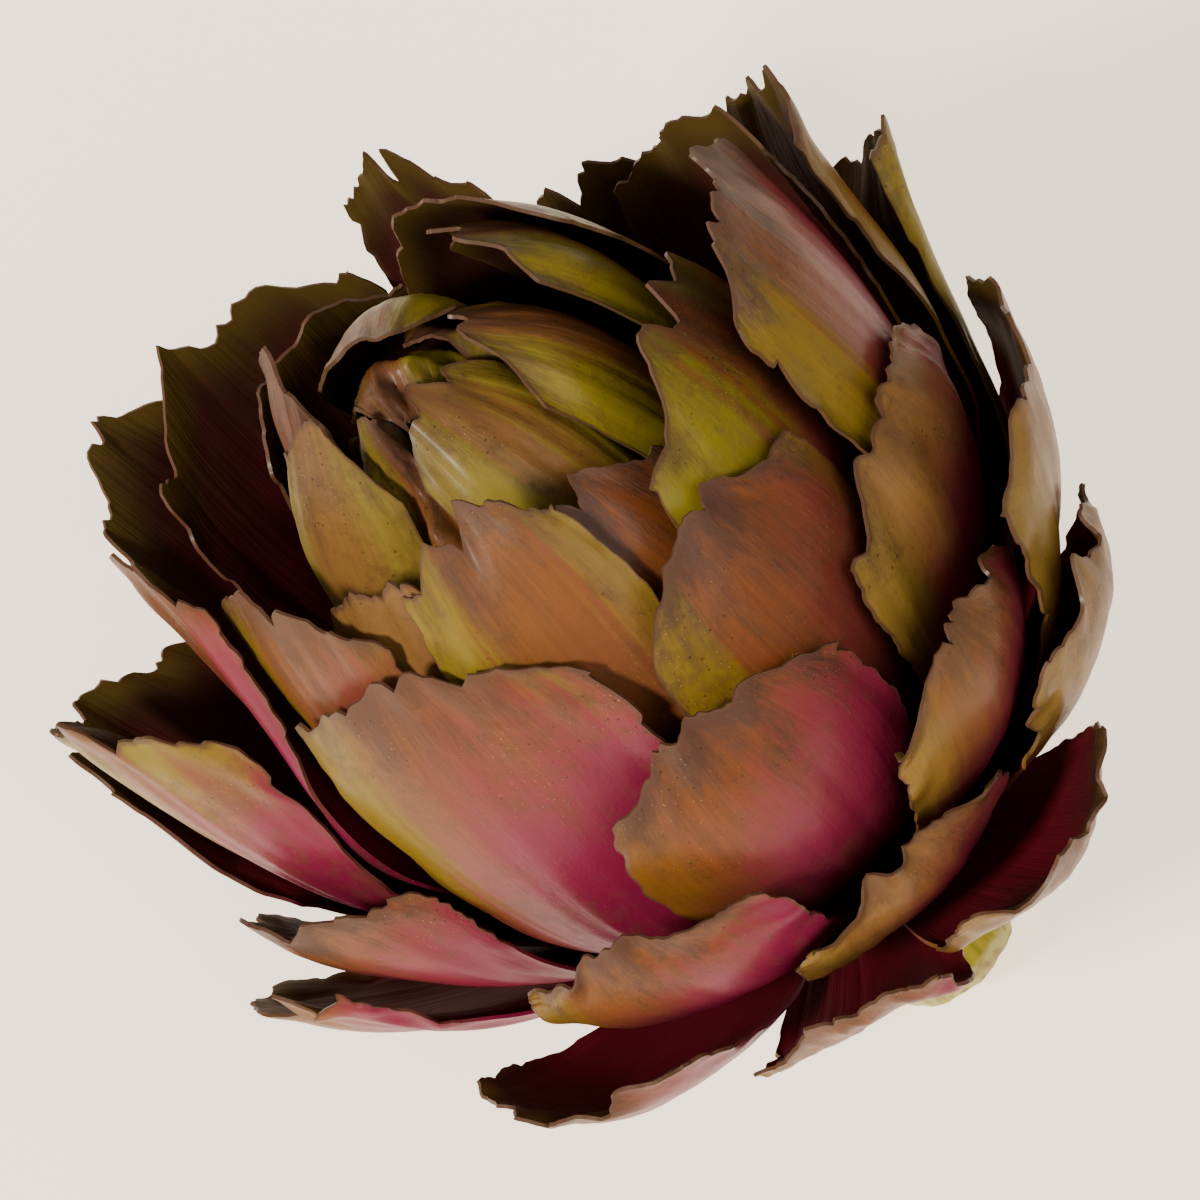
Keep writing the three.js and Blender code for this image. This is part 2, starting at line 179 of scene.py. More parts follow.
# The open bracts of each whorl, from the inner ones outwards
WHORLS = {
    "upper": [
        bract(12, (21, 15), (24, 79), (62, 125), 14, 48),
        bract(-48, (21, 15), (23, 82), (60, 118), 14, 48),
        bract(-15, (21, 15), (20, 83), (62, 125), 11.5, 50, blunt=0.5),
        bract(-73, (21, 14), (28, 86), (60, 108), 15, 46, blunt=0.75, turn=14),
        bract(55, (21, 15), (31, 83), (58, 116), 23, 50),
        bract(128, (21, 15), (17, 90), (68, 128), 15, 48, plain=True),
        bract(-168, (21, 15), (19, 90), (62, 126), 16, 48, plain=True),
        bract(22, (21, 13), (36, 71), (40, 112), 18, 45),
    ],
    "middle": [
        bract(-46, (20, 10), (30, 74), (25, 102), 22, 42),
        bract(72, (20, 11), (41.5, 89), (28, 106), 17.5, 42, turn=-14),
        bract(110, (20, 10), (45.5, 77), (35, 92), 16, 50),
        bract(-104, (20, 10), (35.5, 91.5), (34, 94), 15, 58, turn=40),
        bract(-164, (20, 10), (46, 86), (35, 90), 22, 50),
        bract(157, (20, 10), (44.5, 87), (35, 88), 10, 52, blunt=0.3),
        bract(136, (20, 10), (34, 64), (38, 92), 15, 50),
        bract(54, (20, 9), (37, 56), (32, 120), 18, 48, turn=-12),
        bract(-3, (20, 9), (42, 57.5), (22, 114), 19, 46),
    ],
    "spread": [
        bract(-147, (17, 7), (54, 84), (30, 82), 16, 50),
        bract(100, (17, 7), (52, 77.5), (30, 78), 15, 70, turn=-30, blunt=0.6),
        bract(30, (16, 6), (49, 43), (15, 120), 17, 50, foot=0.4),
        bract(-102, (16, 6), (53, 80.5), (14, 96), 17, 62, turn=44),
        bract(-33, (16, 6), (47, 42), (8, 128), 18.5, 46, foot=0.5),
        bract(97, (15, 5), (58, 62), (14, 56), 13, 80, turn=-40, blunt=0.8),
        bract(66, (15, 5), (57, 49.5), (18, 92), 22, 60, turn=2, blunt=0.85),
        bract(-123, (15, 5), (56.5, 65.5), (22, 78), 14, 50),
        bract(-90, (15, 5), (52, 48.5), (8, 98), 18, 54, turn=42),
        bract(160, (15, 5), (52, 55), (20, 85), 18, 50, plain=True),
        bract(-160, (15, 5), (54, 55), (20, 82), 18, 50, plain=True),
        bract(128, (15, 5), (50, 50), (20, 90), 17, 50, plain=True),
        bract(2, (14, 4), (45, 27.5), (4, 125), 17, 50, foot=0.45, turn=-10),
    ],
    "low": [
        bract(47, (12, 3), (56, 34), (6, 100), 17, 58),
        bract(-96, (12, 2.5), (61, 36), (5, 84), 16, 68, turn=50),
        bract(18, (11.5, 2), (57, 19), (5, 80), 17, 58, foot=0.4),
        bract(-52, (11.5, 2), (58, 29.5), (4, 82), 18, 55, foot=0.4),
        bract(150, (11.5, 2), (54, 24), (4, 75), 17, 50, plain=True),
        bract(-152, (11.5, 2), (46, 34), (8, 90), 15, 50, plain=True),
        bract(90, (11.5, 2), (39, 18), (4, 90), 14, 50, plain=True),
        bract(-18, (11, 1.5), (50, 19), (2, 84), 13, 50, foot=0.5, blunt=0.9),
        bract(-122, (11, 1.5), (62, 15), (0, 60), 16, 45, plain=True),
        bract(-182, (11, 1.5), (62, 15), (0, 60), 16, 45, plain=True),
    ],
}
OPEN = []
for whorl, bracts in WHORLS.items():
    for number, b in enumerate(bracts, 1):
        b.update(whorl=whorl, node=f"{whorl}_bract_{number}", name=f"leaf_{whorl}_{number}")
        OPEN.append(b)
for number, b in enumerate(BUD, 1):
    b.update(whorl="bud", node="stem_and_bud", name=f"leaf_bud_{number}")
for number, b in enumerate(OPEN + BUD, 1):
    b["seed"] = number


def width_share(b, u):
    """The outline's share of the half width, from the root at 0 to the tip at 1."""
    tip = b.get("blunt", TIP_WIDTH)
    root = b.get("foot", ROOT_WIDTH)
    rising = root + (1 - root) * np.sin(np.pi / 2 * np.clip(u / WIDEST_AT, 0, 1)) ** WIDENS
    falling = 1 - (1 - tip) * (np.maximum(u - WIDEST_AT, 0) / (1 - WIDEST_AT)) ** NARROWS
    return rising * falling


def midrib(b, t):
    """Radius and height along the midrib, a cubic, and its direction there."""
    start, end = (math.radians(s) for s in b["slopes"])
    root, tip = np.array(b["root"], float), np.array(b["tip"], float)
    length = np.linalg.norm(tip - root)
    near = root + ROOT_PULL * length * np.array([math.cos(start), math.sin(start)])
    far = tip - TIP_PULL * length * np.array([math.cos(end), math.sin(end)])
    t = t[..., None]
    s = 1 - t
    place = s ** 3 * root + 3 * s * s * t * near + 3 * s * t * t * far + t ** 3 * tip
    way = s * s * (near - root) + 2 * s * t * (far - near) + t * t * (tip - far)
    return place, way / np.linalg.norm(way, axis=-1, keepdims=True)


def outer_point(b, u, v):
    """A point of the outer face in the solids, at u along the bract and v across it."""
    place, way = midrib(b, u)
    across = b["half_width"] * width_share(b, u) * v
    bend = math.radians(b["cup"]) / b["half_width"] * (CUP_AT_ROOT + CUP_GAINED * u)
    flat_side = np.sin(bend * across) / bend
    flat_rise = (1 - np.cos(bend * across)) / bend
    turn = math.radians(b.get("turn", 0)) * u
    side = flat_side * np.cos(turn) - flat_rise * np.sin(turn)
    rise = flat_side * np.sin(turn) + flat_rise * np.cos(turn)
    radius = place[..., 0] - way[..., 1] * rise
    height = place[..., 1] + way[..., 0] * rise
    a = math.radians(b["azimuth"])
    return np.stack([
        radius * math.cos(a) - side * math.sin(a),
        radius * math.sin(a) + side * math.cos(a),
        height,
    ], -1)


def coarse_grid(b):
    """The grid of the outer face in the solids, with rows from root to tip."""
    rows, columns = PLAIN_GRID if b.get("plain") or b["whorl"] == "bud" else OPEN_GRID
    v = np.linspace(-1, 1, columns + 1)
    tear = draw(b["seed"] * 17.3 + np.arange(columns + 1) * 3.1)
    edge = 1 - TIP_ROUND * np.abs(v) ** CORNER - RAGGED * tear
    u = np.linspace(0, 1, rows + 1)[:, None] * edge[None]
    return outer_point(b, u, np.broadcast_to(v, u.shape))


def normals(grid):
    """Outward directions of a grid of points."""
    along = np.empty_like(grid)
    along[1:-1] = grid[2:] - grid[:-2]
    along[0], along[-1] = grid[1] - grid[0], grid[-1] - grid[-2]
    across = np.empty_like(grid)
    across[:, 1:-1] = grid[:, 2:] - grid[:, :-2]
    across[:, 0], across[:, -1] = grid[:, 1] - grid[:, 0], grid[:, -1] - grid[:, -2]
    out = np.cross(across, along)
    return out / np.linalg.norm(out, axis=-1, keepdims=True)


def inner_grid(grid):
    """The inner face in the solids, under the outer one by the bract's thickness."""
    u = np.linspace(0, 1, grid.shape[0])[:, None]
    v = np.linspace(-1, 1, grid.shape[1])[None]
    share = (1 - u) ** THINS_ALONG * (1 - THINS_ACROSS * v * v)
    thick = RIM_THICKNESS + (ROOT_THICKNESS - RIM_THICKNESS) * share
    return grid - normals(grid) * thick[..., None]


class Cushion:
    """How far pieces reach from the centre, by direction."""

    MOST_CELLS = 8
    LEAST_SINE = 0.1

    def __init__(self, cells, empty=0.0):
        self.cells = cells
        self.map = np.full((cells, 2 * cells), empty)
        self.empty = empty

    def cell(self, offset):
        """The row and column of the cell that each offset points to, and its angle from the axis."""
        polar = np.arccos(np.clip(offset[..., 2] / np.linalg.norm(offset, axis=-1), -1, 1))
        azimuth = np.arctan2(offset[..., 1], offset[..., 0]) + np.pi
        i = np.minimum(self.cells - 1, (polar / np.pi * self.cells).astype(int))
        j = (azimuth / np.pi * self.cells).astype(int) % (2 * self.cells)
        return i, j, polar

    def add(self, points):
        """Takes in points: the farthest in each cell, or the nearest where the map starts far."""
        offset = points.reshape(-1, 3) - CENTRE
        i, j, _ = self.cell(offset)
        far = np.linalg.norm(offset, axis=-1)
        (np.maximum if self.empty == 0 else np.minimum).at(self.map, (i, j), far)

    def reach(self, offset):
        """The reach around each offset's direction, a cell or more to each side."""
        i, j, polar = self.cell(offset)
        wide = np.ceil(1 / np.maximum(self.LEAST_SINE, np.sin(polar)))
        wide = np.minimum(self.MOST_CELLS, wide).astype(int)
        best = np.full(i.shape, self.empty)
        choose = np.maximum if self.empty == 0 else np.minimum
        for di in (-1, 0, 1):
            row = np.clip(i + di, 0, self.cells - 1)
            for dj in range(-self.MOST_CELLS, self.MOST_CELLS + 1):
                value = self.map[row, (j + dj) % (2 * self.cells)]
                best = np.where(np.abs(dj) <= wide, choose(best, value), best)
        return best


def sample(grid, step):
    """Points all over a grid's faces, about a step apart."""
    rows, columns = grid.shape[:2]
    along, across = (np.linalg.norm(np.diff(grid, axis=k), axis=-1).max() for k in (0, 1))
    u = np.linspace(0, rows - 1, (rows - 1) * max(1, math.ceil(along / step)) + 1)
    v = np.linspace(0, columns - 1, (columns - 1) * max(1, math.ceil(across / step)) + 1)
    i, j = np.minimum(u.astype(int), rows - 2), np.minimum(v.astype(int), columns - 2)
    fu, fv = (u - i)[:, None, None], (v - j)[None, :, None]
    low = grid[i][:, j] * (1 - fv) + grid[i][:, j + 1] * fv
    high = grid[i + 1][:, j] * (1 - fv) + grid[i + 1][:, j + 1] * fv
    return low * (1 - fu) + high * fu


def even_out(push):
    """Spreads a push so that the bract bends evenly."""
    wide = np.pad(push, 1, mode="edge")
    mean = (wide[:-2, 1:-1] + wide[2:, 1:-1] + wide[1:-1, :-2] + wide[1:-1, 2:]) / 4
    return np.maximum(push, mean)


def press_out(grid, cushion):
    """Moves a grid of the solids outwards, clear of all that is within it."""
    rows, columns = grid.shape[0] - 1, grid.shape[1] - 1
    push = np.zeros(grid.shape[:2])
    counts = np.arange(rows * PRESS_STEPS + 1), np.arange(columns * PRESS_STEPS + 1)
    fine_i, fine_j = np.meshgrid(*counts, indexing="ij")
    i = np.minimum(rows - 1, fine_i // PRESS_STEPS)
    j = np.minimum(columns - 1, fine_j // PRESS_STEPS)
    fi, fj = fine_i / PRESS_STEPS - i, fine_j / PRESS_STEPS - j
    fi3, fj3 = fi[..., None], fj[..., None]
    low = grid[i, j] * (1 - fj3) + grid[i, j + 1] * fj3
    high = grid[i + 1, j] * (1 - fj3) + grid[i + 1, j + 1] * fj3
    offset = low * (1 - fi3) + high * fi3 - CENTRE
    need = cushion.reach(offset) + LAYER_GAP - np.linalg.norm(offset, axis=-1)
    corners = (
        (0, 0, (1 - fi) * (1 - fj)),
        (1, 0, fi * (1 - fj)),
        (0, 1, (1 - fi) * fj),
        (1, 1, fi * fj),
    )
    for di, dj, share in corners:
        touched = share > 1e-12
        np.maximum.at(push, (i[touched] + di, j[touched] + dj), need[touched])
    push = even_out(even_out(push))
    way = grid - CENTRE
    return grid + way / np.linalg.norm(way, axis=-1, keepdims=True) * push[..., None]


def spline_weights(x, count):
    """Weights of a smooth curve through count even points, at places x from 0 to 1."""
    x = np.asarray(x, float) * (count - 1)
    i = np.clip(np.floor(x).astype(int), 0, count - 2)
    f = x - i
    parts = [
        -0.5 * f + f ** 2 - 0.5 * f ** 3,
        1 - 2.5 * f ** 2 + 1.5 * f ** 3,
        0.5 * f + 2 * f ** 2 - 1.5 * f ** 3,
        -0.5 * f ** 2 + 0.5 * f ** 3,
    ]
    weights = np.zeros(x.shape + (count,))
    places = np.indices(x.shape)
    for k, part in zip((-1, 0, 1, 2), parts):
        n = i + k
        inside = np.clip(n, 0, count - 1)
        outside = n != inside
        mirrored = np.clip(np.where(n < 0, 1, count - 2), 0, count - 1)
        np.add.at(weights, (*places, inside), np.where(outside, 2 * part, part))
        np.add.at(weights, (*places, mirrored), np.where(outside, -part, 0))
    return weights


def surface(grid, u, v):
    """Points of the smooth surface through a grid, at u along it and v across it."""
    along = spline_weights(u, grid.shape[0])
    across = spline_weights((v + 1) / 2, grid.shape[1])
    return np.einsum("abr,rcx,abc->abx", along, grid, across)


def teeth(x, seed, depth):
    """Rounded lobes along x with sharp notches between them, each of its own depth."""
    x = x + 0.45 * noise(x * 0.6, seed)
    lobe = np.floor(x)
    notch = 1 - np.abs(np.sin(np.pi * x)) ** 0.55
    near = np.where(x - lobe < 0.5, lobe, lobe + 1)
    return depth * notch * (0.15 + 0.85 * draw(near * 2.3 + seed * 7.7) ** 1.5)


# How each whorl's margins are: tip teeth, side teeth, curl of the rim, waves of the rim, in mm
MARGINS = {
    "bud": dict(tip=1.2, side=0.2, curl=-0.6, wave=0.15),
    "upper": dict(tip=2.6, side=0.7, curl=-0.2, wave=0.3),
    "middle": dict(tip=3.0, side=1.3, curl=0.3, wave=0.6),
    "spread": dict(tip=3.2, side=1.2, curl=0.8, wave=0.8),
    "low": dict(tip=3.0, side=1.6, curl=0.9, wave=0.9),
}


def tear(b, t, v, length):
    """Where the skin's points fall on the smooth surface, once its tip and its sides are torn."""
    margin = MARGINS[b["whorl"]]
    seed = b["seed"]
    torn = teeth(v * 2.3 + seed, seed, margin["tip"]) + teeth(v * 7 + seed, seed + 3, 0.35 * margin["tip"])
    torn = torn + 0.25 * margin["tip"] * noise(v * 16, seed)
    u = t * (1 - torn / length * t ** 5)
    share = ramp(t, 0.42, 0.7)
    side = teeth(t * 8 + 3 * seed, seed + 11, margin["side"])
    side = side + 0.25 * margin["side"] * noise(t * 40, seed + 5)
    other = teeth(t * 8 + 5 * seed, seed + 17, margin["side"])
    other = other + 0.25 * margin["side"] * noise(t * 40, seed + 9)
    cut = np.where(v > 0, side, other) * share / b["half_width"]
    w = v * (1 - cut * np.abs(v) ** 5)
    return np.broadcast_arrays(u, w)


def relief(b, t, v):
    """How far the skin stands out of the smooth surface: ribs, midrib, dents, waves and curled rim."""
    margin = MARGINS[b["whorl"]]
    seed = b["seed"]
    edge = np.maximum(ramp(np.abs(v), 0.62, 1.0) * ramp(t, 0.35, 0.75), ramp(t, 0.8, 1.0))
    ribs = RIB * noise(v * 13, seed) + FINE_RIB * noise(v * 27, seed + 2)
    height = ribs * ramp(t, 0.05, 0.3) * (1 - 0.5 * ramp(t, 0.85, 1))
    height = height + MIDRIB * np.exp(-(v / 0.07) ** 2) * (1 - ramp(t, 0.2, 0.7))
    dents = noise_2d(v * 2.2 + 0 * t, t * 3.1 + 0 * v, seed + 21)
    height = height + DENT * dents * ramp(t, 0.25, 0.6)
    ruffle = margin["wave"] * noise_2d(v * 4.5 + 0 * t, t * 9 + 0 * v, seed + 31) * edge
    curl = margin["curl"] * edge ** 2 * (0.75 + 0.5 * noise_2d(v * 2 + 0 * t, t * 3 + 0 * v, seed + 41))
    return height + ruffle + curl


def fine_skin(b, outer):
    """The fine outer face of a bract, with rows and columns closer near the tip and the sides."""
    s = np.linspace(0, 1, ROWS + 1)[:, None]
    t = 1 - (1 - s) ** 1.3
    v = np.linspace(-1, 1, COLUMNS + 1)[None]
    v = np.sign(v) * (1 - (1 - np.abs(v)) ** 1.15)
    length = np.linalg.norm(np.diff(outer[:, outer.shape[1] // 2], axis=0), axis=-1).sum()
    points = surface(outer, *tear(b, t, v, length))
    return points + normals(points) * relief(b, t, v)[..., None]


def lathe_profile():
    """The stem, receptacle and heart's core as radius and height, from the cut face up."""
    return np.array([
        (0, -STEM_LENGTH), (STEM_RADIUS - STEM_CHAMFER, -STEM_LENGTH),
        (STEM_RADIUS, STEM_CHAMFER - STEM_LENGTH),
        (STEM_RADIUS - 0.3, -14), (STEM_RADIUS - 0.2, -5), (STEM_RADIUS, -1), (STEM_RADIUS + 1.5, 3),
        (STEM_RADIUS + 6, 8), (RECEPTACLE_RADIUS, 13), (RECEPTACLE_RADIUS, RECEPTACLE_TOP),
        (RECEPTACLE_RADIUS - 5, RECEPTACLE_TOP + 4), (CORE_RADIUS + 2, 30), (CORE_RADIUS, 50),
        (CORE_RADIUS * 0.6, 68), (0, CORE_TOP),
    ], float)


def turned(profile, sides):
    """A profile turned on the axis, as a grid with its rows along the axis."""
    a = np.linspace(0, 2 * np.pi, sides + 1)[None]
    r, z = profile[:, :1], profile[:, 1:]
    return np.stack([r * np.cos(a), r * np.sin(a), z + 0 * a], -1)


POSE = np.array(
    Matrix.Rotation(math.radians(HEADING), 3, "Z")
    @ Matrix.Rotation(math.radians(LEAN), 3, "Y")
    @ Matrix.Rotation(math.radians(-LOW_SIDE), 3, "Z")
)


def lie(points):
    """Head points in millimetres to their place on the table, in metres."""
    return (points @ POSE.T + FOOT) * MM


def shaped_grid(name, points):
    """A grid primitive whose vertices are put on a grid of points, with its UV map along them."""
    rows, columns = points.shape[:2]
    bpy.ops.mesh.primitive_grid_add(x_subdivisions=columns - 1, y_subdivisions=rows - 1, size=1)
    piece = bpy.context.object
    piece.name = name
    piece.data.vertices.foreach_set("co", points.reshape(-1).astype(np.float32))
    piece.data.update()
    return piece


def apply_modifiers(piece):
    """Applies the modifiers of the piece that was made last."""
    for modifier in list(piece.modifiers):
        bpy.ops.object.modifier_apply(modifier=modifier.name)


def add_value(piece, name, value):
    """One number all over a piece, for its material to read."""
    layer = piece.data.attributes.new(name, "FLOAT", "POINT")
    layer.data.foreach_set("value", np.full(len(piece.data.vertices), value, np.float32))


class Value:
    """A number or colour in a material, on which Python's signs act as Math nodes."""

    def __init__(self, paint, socket):
        self.paint, self.socket = paint, socket

    def __add__(self, other):
        return self.paint.math("ADD", self, other)

    def __radd__(self, other):
        return self.paint.math("ADD", other, self)

    def __sub__(self, other):
        return self.paint.math("SUBTRACT", self, other)

    def __rsub__(self, other):
        return self.paint.math("SUBTRACT", other, self)

    def __mul__(self, other):
        return self.paint.math("MULTIPLY", self, other)

    def __rmul__(self, other):
        return self.paint.math("MULTIPLY", other, self)


class Paint:
    """A material being made, node by node."""

    def __init__(self, name):
        self.material = bpy.data.materials.new(name)
        self.material.use_nodes = True
        self.tree = self.material.node_tree
        self.skin = next(n for n in self.tree.nodes if n.type == "BSDF_PRINCIPLED")

    def plug(self, socket, value):
        if isinstance(value, Value):
            self.tree.links.new(value.socket, socket)
        else:
            socket.default_value = value

    def node(self, kind, settings=None, inputs=None, out=0):
        n = self.tree.nodes.new(kind)
        for key, setting in (settings or {}).items():
            setattr(n, key, setting)
        for key, value in (inputs or {}).items():
            self.plug(n.inputs[key], value)
        return Value(self, n.outputs[out])

    def math(self, operation, a, b):
        return self.node("ShaderNodeMath", {"operation": operation}, {0: a, 1: b})

    def ramp(self, x, low, high):
        """A smooth step from 0 at low to 1 at high."""
        settings = {"interpolation_type": "SMOOTHSTEP"}
        return self.node("ShaderNodeMapRange", settings, {0: x, 1: low, 2: high})

    def mix(self, a, b, share):
        a, b = (c if isinstance(c, Value) else (*c, 1) for c in (a, b))
        return self.node("ShaderNodeMix", {"data_type": "RGBA"}, {0: share, 6: a, 7: b}, out=2)

    def join(self, x, y, z):
        return self.node("ShaderNodeCombineXYZ", {}, {0: x, 1: y, 2: z})

    def noise(self, place, scale, detail=3.0, roughness=0.55):
        return self.node("ShaderNodeTexNoise", {}, {
            "Vector": place, "Scale": scale, "Detail": detail, "Roughness": roughness})

    def grains(self, place, scale):
        return self.node("ShaderNodeTexVoronoi", {}, {"Vector": place, "Scale": scale}, out="Distance")

    def value(self, name):
        return self.node("ShaderNodeAttribute", {"attribute_name": name}, out="Fac")

    def bump(self, height, distance):
        return self.node("ShaderNodeBump", {}, {"Strength": 0.5, "Distance": distance, "Height": height})

    def set(self, **inputs):
        for key, value in inputs.items():
            self.plug(self.skin.inputs[key.replace("_", " ")], value)


def surface_coordinates(paint):
    """Along a piece, across it from -1 to 1, and the place on the object."""
    uv = paint.node("ShaderNodeUVMap")
    across = paint.node("ShaderNodeSeparateXYZ", {}, {"Vector": uv}, out="X") * 2.0 - 1.0
    along = paint.node("ShaderNodeSeparateXYZ", {}, {"Vector": uv}, out="Y")
    place = paint.node("ShaderNodeTexCoord", out="Object")
    return along, across, place


# Colours of a bract's outer face, from its foot to its worn tip, with painted shade at the root and
# painted highlights
# Painted shade: the near-black maroon that each bract's root fades into where it lies under other bracts
MAROON_ROOT_SHADE = (0.05, 0.005, 0.008)
MAGENTA = (0.165, 0.006, 0.036)
ROSE = (0.200, 0.028, 0.034)
ORANGE_BROWN = (0.25, 0.075, 0.012)
SALMON = (0.178, 0.051, 0.013)
TAN = (0.130, 0.041, 0.010)
LEAF_GREEN = (0.195, 0.150, 0.006)
# Partly a painted highlight: pale gold that lifts bracts which catch the light
PALE_GOLD_HIGHLIGHT = (0.250, 0.150, 0.036)
FRECKLE = (0.095, 0.044, 0.014)
WORN_BROWN = (0.062, 0.030, 0.021)
WORN_BLACK = (0.028, 0.012, 0.009)
SPECK = (0.025, 0.012, 0.008)
GLINT = (0.50, 0.30, 0.10)
DRY_RIM = (0.085, 0.040, 0.022)

# Colours of a bract's inner face, painted dark with shade deep in its cup
DEEP_SHADE = (0.008, 0.002, 0.002)
DARK_BROWN = (0.028, 0.009, 0.005)
CRIMSON = (0.17, 0.006, 0.018)
OLIVE = (0.075, 0.046, 0.008)
STREAK_BROWN = (0.03, 0.012, 0.008)

# Colours of the stem and of its cut face
YELLOW_GREEN = (0.36, 0.29, 0.006)
DULL_GREEN = (0.22, 0.20, 0.005)
BRUISE = (0.26, 0.15, 0.02)
PITH = (0.50, 0.44, 0.16)
PITH_GRAIN = (0.32, 0.22, 0.07)


def outer_colours_and_painted_light(p, along, across, off, wander, broad, streak):
    """The outer face's colours: salmon and tan, green cheeks, pale gold that is partly a painted
    highlight, and a pink foot that darkens to painted shade at the root.
    """
    pink, green, pale = p.value("pink"), p.value("green"), p.value("pale")
    colour = p.mix(SALMON, TAN, p.ramp(streak, 0.3, 0.75))
    colour = p.mix(colour, ORANGE_BROWN, p.ramp(wander, 0.55, 0.15) * 0.8)
    cheeks = p.ramp(off - across * 0.22 + (broad - 0.5) * 0.9 + green * 0.45, 0.68, 1.06)
    cheeks = cheeks * p.ramp(wander, 0.34, 0.60)
    colour = p.mix(colour, LEAF_GREEN, cheeks * green)
    # Pale gold towards the tip, partly a painted highlight on bracts that catch the light
    colour = p.mix(colour, PALE_GOLD_HIGHLIGHT, p.ramp(wander + (streak - 0.5) * 0.3, 0.22, 0.62) * pale)
    flush = wander - across * 0.32
    colour = p.mix(colour, ROSE, p.ramp(flush, 0.86, 0.44) * p.ramp(pink, 0.0, 0.8))
    colour = p.mix(colour, MAGENTA, p.ramp(flush + off * 0.08, 0.76, 0.36) * pink)
    # Painted shade: every bract, green or pink, darkens to maroon at its root, where it lies under the
    # bracts outside it
    return p.mix(colour, MAROON_ROOT_SHADE, p.ramp(wander, 0.26, 0.02) * 0.85)


def outside_material():
    """A bract's outer face: its colours with painted shade at the root and a partly painted pale
    highlight, freckles, a worn tip, specks, painted glints and a dry rim.
    """
    p = Paint("bract_outside")
    along, across, place = surface_coordinates(p)
    off = p.math("ABSOLUTE", across, 0.0)
    seed, dusk = p.value("seed"), p.value("dusk")
    broad = p.noise(p.join(across * 9.0, along * 1.3, seed * 3.7), 1.0, 3.0)
    streak = p.noise(p.join(across * 34.0, along * 2.4, seed * 1.9), 1.0, 4.0, 0.65)
    patch = p.noise(p.join(across * 5.0, along * 5.0, seed * 5.1), 1.0, 5.0, 0.68)
    cloud = p.noise(place, 75.0, 3.0)
    mottle = p.noise(place, 420.0, 4.0, 0.7)
    wander = along + (broad - 0.5) * 0.30 + (cloud - 0.5) * 0.22

    colour = outer_colours_and_painted_light(p, along, across, off, wander, broad, streak)
    freckles = p.ramp(mottle + (cloud - 0.5) * 0.8, 0.50, 0.72) * p.ramp(wander, 0.15, 0.45)
    colour = p.mix(colour, FRECKLE, freckles * 0.42)
    worn = p.ramp(wander - off * 0.16 + (patch - 0.5) * 0.8, 0.62, 0.95) * dusk
    colour = p.mix(colour, WORN_BROWN, worn * 0.85)
    scorch = p.ramp(mottle + (streak - 0.5) * 0.5, 0.60, 0.80) * worn
    colour = p.mix(colour, WORN_BLACK, scorch * 0.7)
    speck = p.ramp(p.grains(place, 800.0), 0.17, 0.08) * p.ramp(cloud, 0.48, 0.60)
    colour = p.mix(colour, SPECK, speck * p.ramp(along, 0.35, 0.8) * 0.75)
    glint = p.ramp(p.grains(place, 1500.0), 0.13, 0.06) * p.ramp(cloud, 0.50, 0.62)
    colour = p.mix(colour, GLINT, glint * 0.75)
    to_rim = p.math("MAXIMUM", off, along) + (patch - 0.5) * 0.06
    rim = p.ramp(to_rim, 0.96, 0.99) * p.ramp(along, 0.45, 0.65)
    colour = p.mix(colour, DRY_RIM, rim * 0.85)

    height = streak * 0.16 + mottle * 0.35 + glint * 0.6 + patch * 0.5 * worn
    rough = 0.40 + (mottle - 0.5) * 0.25 + worn * 0.16 - glint * 0.2
    p.set(Base_Color=colour, Roughness=rough, Normal=p.bump(height, 0.0006),
          Specular_IOR_Level=0.14, Coat_Weight=0.10, Coat_Roughness=0.24)
    return p.material


def inside_material():
    """A bract's inner face: painted shade of near-black maroon deep in the cup, then dark brown, with an
    olive rim.
    """
    p = Paint("bract_inside")
    along, across, place = surface_coordinates(p)
    off = p.math("ABSOLUTE", across, 0.0)
    streak = p.noise(p.join(across * 22.0, along * 1.8, p.value("seed") * 2.3), 1.0, 4.0, 0.6)
    cloud = p.noise(place, 110.0, 3.0)
    wander = along + (streak - 0.5) * 0.2 + (cloud - 0.5) * 0.2
    # Painted shade: near black deep in the cup at the root, lightening to dark brown towards the tip
    colour = p.mix(DEEP_SHADE, DARK_BROWN, p.ramp(wander, 0.35, 0.85))
    colour = p.mix(colour, CRIMSON, p.value("pink") * p.ramp(wander, 0.95, 0.35) * 0.5)
    near_rim = p.ramp(p.math("MAXIMUM", off * 0.92, along) + (cloud - 0.5) * 0.12, 0.80, 0.98)
    colour = p.mix(colour, OLIVE, near_rim * p.ramp(along, 0.5, 0.8) * 0.85)
    colour = p.mix(colour, STREAK_BROWN, p.ramp(streak, 0.6, 0.8) * 0.4)
    p.set(Base_Color=colour, Roughness=0.62 + (cloud - 0.5) * 0.2, Normal=p.bump(streak, 0.0005),
          Specular_IOR_Level=0.10)
    return p.material


def stem_material():
    """The stem: yellow green and faintly ribbed, with a pale cut face."""
    p = Paint("stem_skin")
    along, across, place = surface_coordinates(p)
    rib = p.noise(p.join(across * 24.0, along * 2.0, 0.0), 1.0, 3.0)
    cloud = p.noise(place, 160.0, 4.0)
    colour = p.mix(YELLOW_GREEN, DULL_GREEN, p.ramp(rib, 0.35, 0.7))
    colour = p.mix(colour, BRUISE, p.ramp(cloud, 0.55, 0.75) * 0.5)
    pith = p.mix(PITH, PITH_GRAIN, p.ramp(p.noise(place, 700.0, 4.0), 0.4, 0.7))
    colour = p.mix(colour, pith, p.ramp(along, 0.105, 0.095))
    p.set(Base_Color=colour, Roughness=0.42 + (cloud - 0.5) * 0.2,
          Normal=p.bump(rib + cloud * 0.4, 0.0006), Specular_IOR_Level=0.15)
    return p.material


OUTSIDE = outside_material()
INSIDE = inside_material()
STEM = stem_material()

